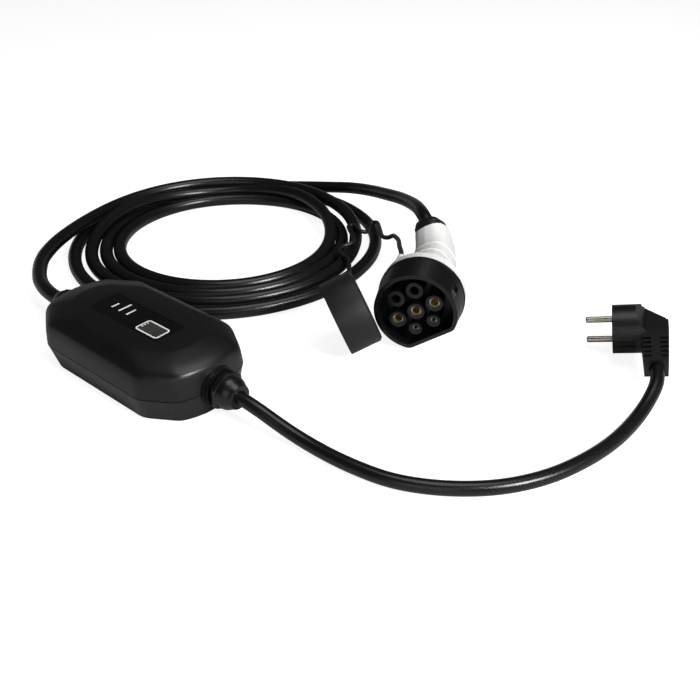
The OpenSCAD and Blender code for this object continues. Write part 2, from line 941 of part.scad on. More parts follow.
module handle_form() {
    difference() {
        union() {
            translate([0, 0, -flange_to])
                cylinder(r = 33.2, h = flange_to - flange_from);
            handle_skin(handle_sections, 0);
            translate([lug_at.x, lug_at.y, -lug_end])
                cylinder(d = 5.6, h = lug_end - flange_to + 1);
            intersection() {
                handle_skin(handle_sections, 0.5);
                for (p = handle_screw_at)
                    translate([0, p[1], -p[0]])
                        rod_x(-20, 20, 5.4);
            }
        }
        difference() {
            union() {
                translate([0, 0, -flange_to - 0.05])
                    cylinder(r = 28, h = 20);
                handle_skin(concat(handle_sections, [handle_past]), handle_wall);
            }
            for (p = handle_screw_at)
                translate([0, p[1], -p[0]])
                    rod_x(-20, 20, 5.4);
        }
        for (p = handle_screw_at)
            translate([0, p[1], -p[0]]) {
                rod_x(-6, 40, small_screw_d + 2 * fit);
                rod_x(5, 40, 4.4);
            }
    }
}

module handle_half(side) {
    intersection() {
        handle_form();
        translate([side > 0 ? 0.03 : -60.03, -60, -200])
            cube([60, 120, 200]);
    }
}

module handle_left() {
    color("#ededeb")
        at_connector()
            handle_half(-1);
}

module handle_right() {
    color("#ededeb")
        at_connector()
            handle_half(1);
}

module handle_screws() {
    color("#a9acb0")
        at_connector()
            for (p = handle_screw_at)
                translate([0, p[1], -p[0]]) {
                    rod_x(-5.6, 5.2, small_screw_d);
                    rod_x(5.05, 6.6, 4);
                }
}

module cable_clamp() {
    color("#3a3b3d")
        at_connector()
            translate([0, clamp_bend, -clamp_at[1]])
                difference() {
                    cylinder(d = clamp_d, h = clamp_at[1] - clamp_at[0]);
                    translate([0, 0, -1])
                        cylinder(d = vehicle_d + 2 * clamp_fit, h = clamp_at[1] - clamp_at[0] + 2);
                }
}

module connector_boot() {
    color("#1a1a1b")
        at_connector()
            difference() {
                handle_skin(boot_sections, 0);
                tube([for (p = boot_bore) [p[2], p[1], -p[0]]], vehicle_d + 3 * soft_fit, 24);
            }
}

module connector_cores() {
    end = inner_run[0];
    color("#a86a3c")
        at_connector()
            for (p = concat(power_at, pilot_at))
                tube([
                    [p.x, p.y, -contact_rear - 0.1],
                    [p.x * core_in, p.y * core_in + end[1], 0.1 - end[0]]
                ], core_d, 8);
}

module dust_cap() {
    color("#1a1b1c")
        translate(cap_pos)
            rotate(cap_turn)
                difference() {
                    union() {
                        rotate_extrude($fn = 64)
                            polygon([
                                [0, -cap_depth / 2], [cap_r, -cap_depth / 2], [cap_r, cap_depth / 2 - 2],
                                [cap_r - 2, cap_depth / 2], [0, cap_depth / 2]
                            ]);
                        translate([cap_lug.x, cap_r - 3, cap_lug.z])
                            rotate([-90, 0, 0])
                                cylinder(d = 5.6, h = cap_lug.y - cap_r + 3);
                    }
                    translate([0, 0, -cap_depth / 2 - 1])
                        cylinder(r = cap_r - cap_wall, h = cap_depth - cap_wall + 1, $fn = 64);
                }
}

module cap_tether() {
    color("#202022")
        tube(tether_route, tether_d, 8);
}

bottom_shell();
top_cover();
housing_seal();
front_panel();
light_windows();
indicator_board();
indicator_leds();
indicator_screws();
circuit_board();
board_screws();
housing_screws();
relays();
leakage_sensor();
supply_module();
supply_capacitors();
mains_terminal();
vehicle_terminal();
mains_cores();
vehicle_cores();
mains_gland_body();
mains_gland_seal();
mains_gland_nut();
mains_gland_locknut();
vehicle_gland_body();
vehicle_gland_seal();
vehicle_gland_nut();
vehicle_gland_locknut();
mains_lead();
plug_body();
plug_pins();
earth_clips();
vehicle_cable_lead_in();
vehicle_cable_coil();
vehicle_cable_lead_out();
connector_collar();
contact_carrier();
power_contacts();
pilot_contacts();
handle_left();
handle_right();
handle_screws();
cable_clamp();
connector_boot();
connector_cores();
dust_cap();
cap_tether();
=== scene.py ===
import json
import math

import bpy
from mathutils import Matrix, Vector

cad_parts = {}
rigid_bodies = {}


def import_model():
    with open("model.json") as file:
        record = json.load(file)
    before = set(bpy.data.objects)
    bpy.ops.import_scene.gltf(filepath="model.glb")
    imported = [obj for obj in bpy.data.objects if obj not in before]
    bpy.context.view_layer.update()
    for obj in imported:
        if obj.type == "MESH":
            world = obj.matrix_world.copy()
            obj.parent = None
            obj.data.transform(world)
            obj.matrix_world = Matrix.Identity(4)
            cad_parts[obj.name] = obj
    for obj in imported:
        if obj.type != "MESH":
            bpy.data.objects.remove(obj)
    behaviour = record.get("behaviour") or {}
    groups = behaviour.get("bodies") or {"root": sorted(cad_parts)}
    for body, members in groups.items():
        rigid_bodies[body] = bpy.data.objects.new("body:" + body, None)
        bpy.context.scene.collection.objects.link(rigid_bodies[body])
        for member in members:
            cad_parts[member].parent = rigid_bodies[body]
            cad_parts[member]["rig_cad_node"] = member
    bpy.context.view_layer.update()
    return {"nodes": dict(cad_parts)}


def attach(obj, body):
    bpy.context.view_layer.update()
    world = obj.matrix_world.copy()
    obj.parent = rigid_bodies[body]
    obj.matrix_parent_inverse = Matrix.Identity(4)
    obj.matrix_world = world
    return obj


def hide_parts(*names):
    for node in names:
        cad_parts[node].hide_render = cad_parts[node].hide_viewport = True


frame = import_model()
nodes = frame["nodes"]
MM = 0.001    # routes, places and sizes of pieces are in mm, and turned to metres where they are used

# sizes that the pieces share with the CAD source
MAINS_D, VEHICLE_D, TETHER_D = 9.5, 12.0, 4.0
GLAND_AXIS = 20.0    # height of the glands' axis over the floor
CABLE_START = 69.0   # both cables start inside the box, this far from its middle
PANEL_TOP = 44.72    # height of the front panel's face


# camera: the photograph's own place and angle
cam_data = bpy.data.cameras.new("camera")
cam_data.lens = 38.06
cam_data.sensor_width = 36.0
cam_data.clip_start = 0.01
cam_data.clip_end = 20.0
cam = bpy.data.objects.new("camera", cam_data)
cam.location = (0.4046, -0.2574, 0.316)
cam.rotation_euler = (math.radians(56.5), 0.0, math.radians(39.0))
bpy.context.scene.collection.objects.link(cam)
bpy.context.scene.camera = cam


# materials
def srgb(code):
    """Linear colour of an sRGB hex code."""
    out = []
    for k in (0, 2, 4):
        c = int(code[k:k + 2], 16) / 255.0
        out.append(c / 12.92 if c <= 0.04045 else ((c + 0.055) / 1.055) ** 2.4)
    return (*out, 1.0)


def add(tree, kind, inputs=None, **props):
    """One node with its properties and its inputs, a value or another node's socket."""
    n = tree.nodes.new(kind)
    for k, v in props.items():
        setattr(n, k, v)
    for k, v in (inputs or {}).items():
        if isinstance(v, bpy.types.NodeSocket):
            tree.links.new(v, n.inputs[k])
        else:
            n.inputs[k].default_value = v
    return n


NOISE_LOW, NOISE_HIGH = 0.3, 0.7   # most of a noise texture's values lie between these


def material(name, light, dark, rough, grain_mm, bump_mm, rough_spread=0.06, patch_mm=22.0, metallic=0.0, ior=1.5):
    """A surface whose colour drifts from dark to light over patch_mm and whose grain is grain_mm across."""
    m = bpy.data.materials.new(name)
    m.use_nodes = True
    t = m.node_tree
    shader = t.nodes["Principled BSDF"]
    here = add(t, "ShaderNodeTexCoord").outputs["Object"]
    patch = add(t, "ShaderNodeTexNoise", {"Vector": here, "Scale": 1000 / patch_mm, "Detail": 3.0})
    grain = add(t, "ShaderNodeTexNoise", {"Vector": here, "Scale": 1000 / grain_mm, "Detail": 4.0})
    tint = add(t, "ShaderNodeValToRGB", {"Fac": patch.outputs["Fac"]})
    tint.color_ramp.elements[0].position = NOISE_LOW
    tint.color_ramp.elements[0].color = srgb(dark)
    tint.color_ramp.elements[1].position = NOISE_HIGH
    tint.color_ramp.elements[1].color = srgb(light)
    t.links.new(tint.outputs["Color"], shader.inputs["Base Color"])
    gloss = add(t, "ShaderNodeMapRange", {"Value": grain.outputs["Fac"], "From Min": NOISE_LOW, "From Max": NOISE_HIGH,
                                          "To Min": rough - rough_spread, "To Max": rough + rough_spread})
    t.links.new(gloss.outputs[0], shader.inputs["Roughness"])
    bump = add(t, "ShaderNodeBump", {"Height": grain.outputs["Fac"], "Strength": 1.0, "Distance": bump_mm * MM})
    t.links.new(bump.outputs[0], shader.inputs["Normal"])
    shader.inputs["Metallic"].default_value = metallic
    shader.inputs["IOR"].default_value = ior
    return m


# ABS housing with a fine spark-eroded grain
abs_black = material("abs_black_grained", "0d0e0f", "090a0b", 0.36, 0.5, 0.012, ior=1.53)
# smooth PMMA front panel
panel_gloss = material("pmma_panel_black", "0a0b0c", "070808", 0.14, 2.0, 0.001, rough_spread=0.02, ior=1.49)
# tinted display window in the panel
display_glass = material("display_window_grey", "45463f", "33342f", 0.16, 1.6, 0.001, rough_spread=0.03, ior=1.49)
# milky polycarbonate and white screen ink
ink_white = material("ink_white", "f4f4f2", "ececea", 0.45, 0.4, 0.004)
# nylon of the cable glands
nylon_black = material("nylon_black", "0f1011", "0b0c0d", 0.28, 0.8, 0.006, ior=1.53)
# thermoplastic elastomer of the cable sheaths
sheath = material("tpe_sheath_black", "0f1011", "0a0a0b", 0.28, 0.6, 0.006, rough_spread=0.04, patch_mm=35.0)
# soft PVC of the moulded plug
pvc_black = material("pvc_plug_black", "0a0b0c", "070708", 0.36, 0.7, 0.006)
# glass-filled nylon of the connector's collar and contact carrier
pa_black = material("pa_collar_black", "0a0b0c", "070809", 0.31, 0.6, 0.008)
# polycarbonate handle
pc_white = material("pc_handle_white", "efefed", "e6e6e4", 0.32, 0.9, 0.004, rough_spread=0.04, ior=1.58)
# elastomer cap, tether and boot
tpe_grey = material("tpe_cap_grey", "18191a", "121314", 0.50, 0.6, 0.012)
tpe_black = material("tpe_black", "111213", "0c0c0d", 0.44, 0.6, 0.012)
# plated contacts, pins and screws
gold = material("gold_plated_contact", "f2e4c8", "dfca9f", 0.42, 0.5, 0.004, metallic=1.0, patch_mm=5.0)
silver = material("silver_plated_contact", "d2d0c8", "b9b6ad", 0.28, 0.5, 0.004, metallic=1.0, patch_mm=5.0)
# nickel of the earth clips, its colour darkened as painted shade for the recess they sit in
earth_clip_painted_shade = material("nickel_earth_clip_painted_shade", "3a3936", "2a2927", 0.45, 0.6, 0.004, metallic=1.0, patch_mm=8.0)
nickel = material("nickel_plated_pin", "c6c0b4", "a79f90", 0.22, 0.6, 0.003, metallic=1.0, patch_mm=8.0)
steel = material("zinc_plated_screw", "b4b6b8", "9b9da0", 0.34, 0.5, 0.004, metallic=1.0, patch_mm=4.0)
# inner pieces
fr4 = material("fr4_green", "1f5c38", "184a2c", 0.45, 1.2, 0.006)
parts_dark = material("component_dark", "33373d", "25292e", 0.45, 0.8, 0.008)
terminal = material("terminal_green", "3f7d50", "336a43", 0.45, 0.8, 0.008)
copper = material("insulated_core", "a8683c", "8f5530", 0.42, 0.8, 0.006)

LOOK = {
    abs_black: ["bottom_shell", "top_cover"],
    panel_gloss: ["front_panel"],
    ink_white: ["light_windows", "indicator_leds"],
    nylon_black: ["mains_gland_body", "mains_gland_nut", "mains_gland_locknut", "vehicle_gland_body",
                  "vehicle_gland_nut", "vehicle_gland_locknut"],
    pvc_black: ["plug_body"],
    nickel: ["plug_pins"],
    # the earth clips take the darkened nickel: painted shade, not tarnish
    earth_clip_painted_shade: ["earth_clips"],
    pa_black: ["connector_collar", "contact_carrier"],
    gold: ["power_contacts"],
    silver: ["pilot_contacts"],
    pc_white: ["handle_left", "handle_right"],
    tpe_grey: ["dust_cap"],
    tpe_black: ["connector_boot", "cap_tether", "housing_seal", "mains_gland_seal", "vehicle_gland_seal"],
    sheath: ["mains_lead", "vehicle_cable_lead_in", "vehicle_cable_coil", "vehicle_cable_lead_out"],
    steel: ["housing_screws", "board_screws", "indicator_screws", "handle_screws"],
    fr4: ["circuit_board", "indicator_board"],
    parts_dark: ["relays", "leakage_sensor", "supply_module", "supply_capacitors", "cable_clamp"],
    terminal: ["mains_terminal", "vehicle_terminal"],
    copper: ["mains_cores", "vehicle_cores", "connector_cores"],
}
for look, names in LOOK.items():
    for name in names:
        nodes[name].data.materials.clear()
        nodes[name].data.materials.append(look)


# cords
def smooth(points, step=5.0):
    """Points every step mm or so on a curve through the given ones."""
    pts = [Vector(p) for p in points]
    pts = [2 * pts[0] - pts[1]] + pts + [2 * pts[-1] - pts[-2]]
    out = []
    for a, b, c, d in zip(pts, pts[1:], pts[2:], pts[3:]):
        n = max(2, round((c - b).length / step))
        for k in range(n):
            t = k / n
            out.append(0.5 * ((2 * b) + (c - a) * t + (2 * a - 5 * b + 4 * c - d) * t * t
                              + (3 * b - a - 3 * c + d) * t ** 3))
    out.append(pts[-2])
    for _ in range(2):
        out = [out[0]] + [(p + 2 * q + r) / 4 for p, q, r in zip(out, out[1:], out[2:])] + [out[-1]]
    return out


def cable(name, pts, d, look):
    """A round cord along points in mm."""
    bpy.ops.object.select_all(action="DESELECT")
    bpy.ops.curve.primitive_nurbs_path_add(location=(0, 0, 0))
    ob = bpy.context.object
    ob.name = name
    line = ob.data
    line.splines.clear()
    s = line.splines.new("POLY")
    s.points.add(len(pts) - 1)
    for p, q in zip(s.points, pts):
        p.co = (*(q * MM), 1.0)
    s.use_smooth = True
    line.dimensions = "3D"
    line.bevel_depth = d / 2 * MM
    line.bevel_resolution = 6
    line.use_fill_caps = True
    line.materials.append(look)
    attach(ob, "root")
    return ob


def turn(v, a):
    """v turned about x, then y, then z, by degrees."""
    rx, ry, rz = (math.radians(k) for k in a)
    return Matrix.Rotation(rz, 3, "Z") @ Matrix.Rotation(ry, 3, "Y") @ Matrix.Rotation(rx, 3, "X") @ Vector(v)


# middles of the connector's front rim, the plug's face, the dust cap and the coil, and how they are turned
CONN = Vector((143.4, 142.1, 34.3))
CONN_ROLL, CONN_TURN = (0, 0, -56.5), (0, 90, -66)
PLUG = Vector((258.8, 239.8, 18.6))
PLUG_TURN = (-8, 12, 202)
NECK_X = -29.5    # the cable's line in the plug
CAP = Vector((103, 116.2, 32))
CAP_TURN = (0, 68, 52.8)
COIL = Vector((-108, 187, 0))


def conn_pt(x, y, s):
    """A point of the connector, s behind its rim."""
    return CONN + turn(turn((x, y, -s), CONN_ROLL), CONN_TURN)


def plug_pt(x, y, z):
    """A point of the plug: its pins point along x, its cable leaves along y."""
    return PLUG + turn((x, y, z), PLUG_TURN)


def cap_pt(x, y, z):
    """A point of the dust cap, z along its axis."""
    return CAP + turn((x, y, z), CAP_TURN)


def by_coil(a, r, z):
    """A point at an angle, radius and height in the coil."""
    return COIL + Vector((r * math.cos(math.radians(a)), r * math.sin(math.radians(a)), z))


# mains lead: from the gland down to the floor, in a bow round to the plug
mains = smooth([
    (CABLE_START, 0, GLAND_AXIS), (86, 0, GLAND_AXIS), (104, 0, GLAND_AXIS), (120, 1, 17), (138, 4, 10), (157, 6, 5.85),
    (178, 7, 4.85), (198, 9, 4.85), (217, 13, 4.85), (235, 21, 4.85), (252, 32, 4.85), (268, 46, 4.85),
    (281, 62, 4.85), (292, 81, 4.85), (301, 105, 4.85), (307, 130, 4.85), (310, 152, 6.5), (311, 174, 10),
    plug_pt(NECK_X, 60, 0), plug_pt(NECK_X, 46, 0), plug_pt(NECK_X, 32, 0)])
mains_cable = cable("mains_cable", mains, MAINS_D, sheath)
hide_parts("mains_lead")

# vehicle cable: from the gland over the coil, then wound inwards, outwards and off to the connector.
# Stations of the winding: angle round the coil, radius, height of the cable's middle (1 turn = 360 degrees).
WOUND = [
    # on top of the other turns, from the left round the back, and down on the right
    (244, 172.4, 18.3), (233, 161, 18.3), (222, 148.2, 18.3), (208, 138.4, 18.2), (193, 133.2, 18.0),
    (177, 129.8, 17.6), (160, 126.6, 17.5), (144, 123.2, 17.5), (127, 120.4, 17.5), (110, 119.4, 17.5),
    (93, 119.2, 17.5), (76, 118.8, 17.3), (56, 121, 16.8), (43, 123.6, 14.6), (28, 126, 10), (8, 126.2, 6.6),
    (-20, 126, 6.1), (-55, 126.3, 6.1), (-90, 127.5, 6.1), (-120, 130.2, 6.1),
    # over the third turn at the left, over the innermost one at the back
    (-130, 130.6, 7), (-137, 129.4, 9.6), (-144, 127.3, 13), (-152, 123.4, 16.6), (-162, 119.7, 18),
    (-171, 117.5, 17.8), (-181, 115.5, 16.5), (-192, 114, 14), (-208, 112.2, 11.5), (-222, 111.4, 10.8),
    (-243, 108.8, 14.5), (-260, 106.6, 17.8), (-270, 104.6, 18), (-280, 102.4, 17.8), (-293, 99.8, 17),
    (-312, 99.6, 14.5), (-330, 100.2, 9.8), (-350, 99.8, 6.5), (-380, 99.4, 6.1), (-415, 99.6, 6.1),
    (-450, 101.5, 6.1), (-491, 104.6, 6.1), (-525, 104.3, 6.1),
    # innermost turn, drifting outwards on the floor
    (-541, 103.3, 6.1), (-568, 101, 6.1), (-582, 100, 6.1), (-603, 100.6, 6.1), (-620, 103.8, 6.1),
    (-640, 107, 6.1), (-660, 109.5, 6.1), (-677, 111, 6.1), (-712, 112, 6.1), (-740, 112.6, 6.1),
    (-775, 113.4, 6.1), (-810, 114.5, 6.1), (-840, 116.6, 6.1), (-864, 117.3, 6.1), (-882, 118.5, 6.1),
    (-901, 122, 6.1), (-928, 126.5, 6.1), (-963, 129, 6.1),
    # outermost turn
    (-980, 132, 6.1), (-1000, 136, 6.1), (-1018, 140, 6.1), (-1037, 143.8, 6.1), (-1055, 144.4, 6.1),
    (-1072, 143.6, 6.1), (-1100, 143.6, 6.1), (-1135, 144.8, 6.1), (-1170, 145.6, 6.1), (-1200, 145.4, 6.1),
    (-1224, 144.8, 6.1), (-1242, 144.3, 6.1), (-1261, 143.5, 6.1), (-1288, 141.7, 6.1), (-1304, 141.2, 6.1),
    (-1318, 141.8, 6.4),
]
# cable inside the connector, from the boot's mouth to its end: distance behind the rim, bend, sideways
INNER_RUN = [(130.3, -25.8, 3), (124.5, -20.3, 1.2), (118.7, -14.8, 0), (112.5, -9.6, 0), (106, -5.5, 0),
             (98, -2.1, 0), (88, -0.3, 0)]


def wound(stations, step=5):
    """Points every few degrees of a winding, its radius and height eased between the stations."""
    turns = []
    for (a, r, z), (b, s, y) in zip(stations, stations[1:]):
        n = max(1, round((a - b) / step))
        turns += [(a + (b - a) * k / n, r + (s - r) * k / n, z + (y - z) * k / n) for k in range(n)]
    turns.append(stations[-1])
    for _ in range(4):
        turns = turns[:1] + [tuple((p + 2 * q + r) / 4 for p, q, r in zip(*three))
                             for three in zip(turns, turns[1:], turns[2:])] + turns[-1:]
    return [by_coil(*t) for t in turns]


route = [(-CABLE_START, 0, GLAND_AXIS), (-86, 0, GLAND_AXIS), (-106, 0, GLAND_AXIS), (-122, 1, 20), (-144, 7, 19.3),
         (-163, 17, 18.8)]
route += wound(WOUND)
route += [(-155, 322, 7.5), (-131, 332, 10), (-106, 337, 14), (-77, 338, 20), (-43, 329, 28), (-5, 311, 38),
          (16, 300, 43.5), (37, 286, 49), (56, 271, 53.5), (68, 260, 55)]
route += [conn_pt(x, y, s) for s, y, x in INNER_RUN]
vehicle = smooth(route)
vehicle_cable = cable("vehicle_cable", vehicle, VEHICLE_D, sheath)
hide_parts("vehicle_cable_lead_in", "vehicle_cable_coil", "vehicle_cable_lead_out")

# tether: from the lug on the handle in waves over the coil to the lug on the cap
tether = smooth(
    [conn_pt(4.6, -30.4, 44.1)]
    + [(99, 185, 55), (88, 198, 52), (74, 216, 47), (58, 231, 41), (51, 234, 36), (39, 241, 31), (22, 260, 26),
       (6, 278, 21.6), (0, 282.5, 20), (-4.6, 280, 18.6), (-2, 273, 17.7), (3.5, 265, 17.8), (4.6, 259.5, 18.8),
       (0, 257, 20.2), (-6, 259.5, 21.2), (-11.5, 260.5, 21.5), (-13.6, 256.5, 21.5), (-9, 252, 21), (-2, 247, 20.5),
       (4, 242, 20), (9, 236.5, 19.4), (10, 231, 18.8), (6.6, 225, 18), (7.2, 218, 17.5), (13, 212.5, 16.6),
       (20, 212, 15.6), (29, 205, 14.6), (38, 194, 15), (50, 180, 19), (63, 164, 26)]
    + [cap_pt(4, 43.2, 9), cap_pt(4, 32.3, 9)], step=2.0)
tether_cord = cable("tether_cord", tether, TETHER_D, tpe_black)
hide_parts("cap_tether")


def finish_piece(ob, name, look):
    """Names a selected piece, dresses it and sets it on the body."""
    ob.name = name
    ob.data.materials.clear()
    ob.data.materials.append(look)
    bpy.ops.object.transform_apply(location=True, rotation=True, scale=True)
    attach(ob, "root")


# on the panel: a display window, and its outline and three dots in white ink
WINDOW_AT = (23.95, -4.85)
DOTS_AT = [(14.9, -6.5), (14.9, -4.1), (14.9, -1.7)]
DOT_R = 0.7
INK_T = 0.10


def raise_face(height):
    """Makes a closed plate of the flat mesh being edited."""
    bpy.ops.mesh.select_all(action="SELECT")
    bpy.ops.mesh.extrude_region_move(TRANSFORM_OT_translate={"value": (0, 0, height * MM)})
    bpy.ops.mesh.select_all(action="SELECT")
    bpy.ops.mesh.normals_make_consistent(inside=False)
    bpy.ops.object.mode_set(mode="OBJECT")


def panel_plate(name, size, corner, height, look, stroke=0.0):
    """A thin rounded rectangle on the panel, or only its outline where a stroke is given."""
    bpy.ops.object.select_all(action="DESELECT")
    bpy.ops.mesh.primitive_plane_add(size=1.0, location=(WINDOW_AT[0] * MM, WINDOW_AT[1] * MM, PANEL_TOP * MM))
    bpy.ops.object.mode_set(mode="EDIT")
    bpy.ops.transform.resize(value=(size[0] * MM, size[1] * MM, 1.0))
    bpy.ops.mesh.bevel(offset=corner * MM, segments=6, affect="VERTICES")
    if stroke:
        bpy.ops.mesh.inset(thickness=stroke * MM)
        bpy.ops.mesh.delete(type="FACE")
    raise_face(height)
    finish_piece(bpy.context.object, name, look)


panel_plate("panel_display", size=(22.4, 12.6), corner=2.2, height=0.05, look=display_glass)
panel_plate("panel_frame_print", size=(23.6, 13.8), corner=2.8, height=INK_T, look=ink_white, stroke=1.25)

for k, (x, y) in enumerate(DOTS_AT):
    bpy.ops.object.select_all(action="DESELECT")
    bpy.ops.mesh.primitive_circle_add(vertices=20, radius=DOT_R * MM, fill_type="NGON",
                                      location=(x * MM, y * MM, PANEL_TOP * MM))
    bpy.ops.object.mode_set(mode="EDIT")
    raise_face(INK_T)
    finish_piece(bpy.context.object, f"panel_dot_print_{k + 1}", ink_white)


# moulded pieces, from the frame's own shapes
WELD, FLAT = 0.01, 0.4           # points this near (mm) are joined, faces this level (degrees) are one
CUT_WELD, CUT_FLAT = 0.1, 1.0    # the same where rooms were cut away
SHARP = 35                       # edges that turn by more than this (degrees) count as edges


def moulded(name, look, angle, edge=0.0, cuts=(), less=()):
    """A node's shape with its facets shaded as one surface, less what planes and rooms take off, and edges broken."""
    bpy.ops.object.select_all(action="DESELECT")
    ob = nodes[name].copy()
    ob.data = nodes[name].data.copy()
    del ob["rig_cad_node"]  # the copy is a piece of its own, no longer the node
    ob.parent = None
    bpy.context.scene.collection.objects.link(ob)
    bpy.context.view_layer.objects.active = ob
    ob.select_set(True)
    bpy.ops.mesh.customdata_custom_splitnormals_clear()
    bpy.ops.object.mode_set(mode="EDIT")
    bpy.ops.mesh.select_all(action="SELECT")
    bpy.ops.mesh.remove_doubles(threshold=WELD * MM)
    bpy.ops.mesh.dissolve_limited(angle_limit=math.radians(FLAT))
    for place, outward in cuts:
        bpy.ops.mesh.select_all(action="SELECT")
        bpy.ops.mesh.bisect(plane_co=place * MM, plane_no=outward, use_fill=True, clear_outer=True)
    bpy.ops.object.mode_set(mode="OBJECT")
    for room in less:
        away = ob.modifiers.new("less", "BOOLEAN")
        away.operation = "DIFFERENCE"
        away.object = room
        bpy.context.view_layer.objects.active = ob
        bpy.ops.object.modifier_apply(modifier="less")
    if less:
        bpy.ops.object.mode_set(mode="EDIT")
        bpy.ops.mesh.select_all(action="SELECT")
        bpy.ops.mesh.remove_doubles(threshold=CUT_WELD * MM)
        bpy.ops.mesh.dissolve_degenerate(threshold=CUT_WELD * MM)
        bpy.ops.mesh.dissolve_limited(angle_limit=math.radians(CUT_FLAT))
        bpy.ops.object.mode_set(mode="OBJECT")
    if edge:
        round_off = ob.modifiers.new("edge", "BEVEL")
        round_off.width = edge * MM
        round_off.segments = 2
        round_off.limit_method = "ANGLE"
        round_off.angle_limit = math.radians(SHARP)
        bpy.ops.object.modifier_apply(modifier="edge")
    bpy.ops.object.shade_smooth_by_angle(angle=math.radians(angle))
    finish_piece(ob, name + "_moulded", look)
    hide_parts(name)


moulded("top_cover", abs_black, angle=16)
moulded("bottom_shell", abs_black, angle=16)
moulded("handle_left", pc_white, angle=32)
moulded("handle_right", pc_white, angle=32)
# the boot ends at this point of the connector, in a face that looks this way
BOOT_END, BOOT_OUT = (1.5, -22.0, 126.3), (0, -0.688, 0.726)
moulded("connector_boot", tpe_black, angle=40, edge=1.7,
        cuts=[(conn_pt(*BOOT_END), conn_pt(*BOOT_OUT) - CONN)])
moulded("connector_collar", pa_black, angle=32, edge=0.45)
moulded("dust_cap", tpe_grey, angle=32, edge=0.7)

# the plug's grip is a flat plate: its far corner is cut off, and both sides step down from the round head
CORNER_AT, CORNER_OUT = (-22, -15, 0), (-0.67, -0.74, 0.0)    # a point of that cut and the way it looks
STEP_ROOM = (36, 60, 24)       # size of what is taken off on each side
STEP_MIDDLE = (-34, 20.5)      # its middle along the plug's x and to the side
STEP_EDGE = (-16.5, 18.5)      # a point of the step's slope
STEP_SLOPE = (0.82, -0.57)     # the way through that slope, out of the room


def plug_step(side):
    """The room beside the grip, from the step's slope to behind the plug."""
    bpy.ops.object.select_all(action="DESELECT")
    bpy.ops.mesh.primitive_cube_add(size=1.0, location=(STEP_MIDDLE[0] * MM, 0, side * STEP_MIDDLE[1] * MM))
    room = bpy.context.object
    bpy.ops.object.mode_set(mode="EDIT")
    bpy.ops.mesh.select_all(action="SELECT")
    bpy.ops.transform.resize(value=tuple(k * MM for k in STEP_ROOM))
    bpy.ops.mesh.bisect(plane_co=(STEP_EDGE[0] * MM, 0, side * STEP_EDGE[1] * MM),
                        plane_no=(STEP_SLOPE[0], 0, side * STEP_SLOPE[1]), use_fill=True, clear_outer=True)
    bpy.ops.object.mode_set(mode="OBJECT")
    bpy.ops.object.transform_apply(location=True, rotation=True, scale=True)
    room.rotation_euler = [math.radians(a) for a in PLUG_TURN]
    room.location = PLUG * MM
    return room


steps = [plug_step(1), plug_step(-1)]
moulded("plug_body", pvc_black, angle=18, less=steps,
        cuts=[(plug_pt(*CORNER_AT), turn(CORNER_OUT, PLUG_TURN))])
bpy.ops.object.select_all(action="DESELECT")
for room in steps:
    room.select_set(True)
bpy.ops.object.delete()

# cap nuts of the glands: the hexagon's corner radius, thickness and broken edge, and where it starts
HEX_R, HEX_T, HEX_EDGE = 14.43, 4.6, 0.6
GLAND_FACE = 87.6
# their dome: height and radius, from the hexagon to the mouth's rim
DOME = [(4.6, 12.2), (6.6, 12.1), (8.4, 11.7), (10.0, 11.0), (11.5, 10.1), (13.0, 9.3), (14.4, 8.9), (15.1, 8.6),
        (15.4, 8.1)]
MOUTH_FLOOR = 9.0


def gland_cap(name, replaced, side, bore):
    """A gland's cap nut: a hexagon that runs out in a dome with the cable's mouth in it."""
    bpy.ops.object.select_all(action="DESELECT")
    bpy.ops.mesh.primitive_cylinder_add(vertices=6, radius=HEX_R * MM, depth=HEX_T * MM,
                                        location=(0, 0, HEX_T / 2 * MM), rotation=(0, 0, math.radians(30)))
    hexagon = bpy.context.object
    bpy.ops.object.mode_set(mode="EDIT")
    bpy.ops.mesh.select_all(action="SELECT")
    bpy.ops.mesh.bevel(offset=HEX_EDGE * MM, segments=2, affect="EDGES")
    bpy.ops.object.mode_set(mode="OBJECT")
    bpy.ops.object.select_all(action="DESELECT")
    height, radius = DOME[0]
    bpy.ops.mesh.primitive_circle_add(vertices=48, radius=radius * MM, fill_type="NGON", location=(0, 0, height * MM))
    dome = bpy.context.object
    bpy.ops.object.mode_set(mode="EDIT")
    bpy.ops.mesh.select_all(action="SELECT")
    for z, r in DOME[1:] + [(DOME[-1][0], bore / 2), (MOUTH_FLOOR, bore / 2)]:
        bpy.ops.mesh.extrude_region_move(TRANSFORM_OT_translate={"value": (0, 0, (z - height) * MM)})
        bpy.ops.transform.resize(value=(r / radius, r / radius, 1.0))
        height, radius = z, r
    bpy.ops.mesh.select_all(action="SELECT")
    bpy.ops.mesh.normals_make_consistent(inside=False)
    bpy.ops.object.mode_set(mode="OBJECT")
    hexagon.select_set(True)
    bpy.context.view_layer.objects.active = dome
    bpy.ops.object.join()
    bpy.ops.object.transform_apply(location=True, rotation=True, scale=True)
    dome.rotation_euler = (0, math.radians(90 * side), 0)
    dome.location = (side * GLAND_FACE * MM, 0, GLAND_AXIS * MM)
    bpy.ops.object.shade_smooth_by_angle(angle=math.radians(SHARP))
    finish_piece(dome, name, nylon_black)
    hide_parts(replaced)


gland_cap("mains_gland_cap", "mains_gland_nut", side=1, bore=10.1)
gland_cap("vehicle_gland_cap", "vehicle_gland_nut", side=-1, bore=12.6)

# raised lines round the handle and the boot
BEAD_D = 1.3
BEAD_POINTS = 64
BEAD_POWER = 0.78    # 1 would be an ellipse, less is squarer


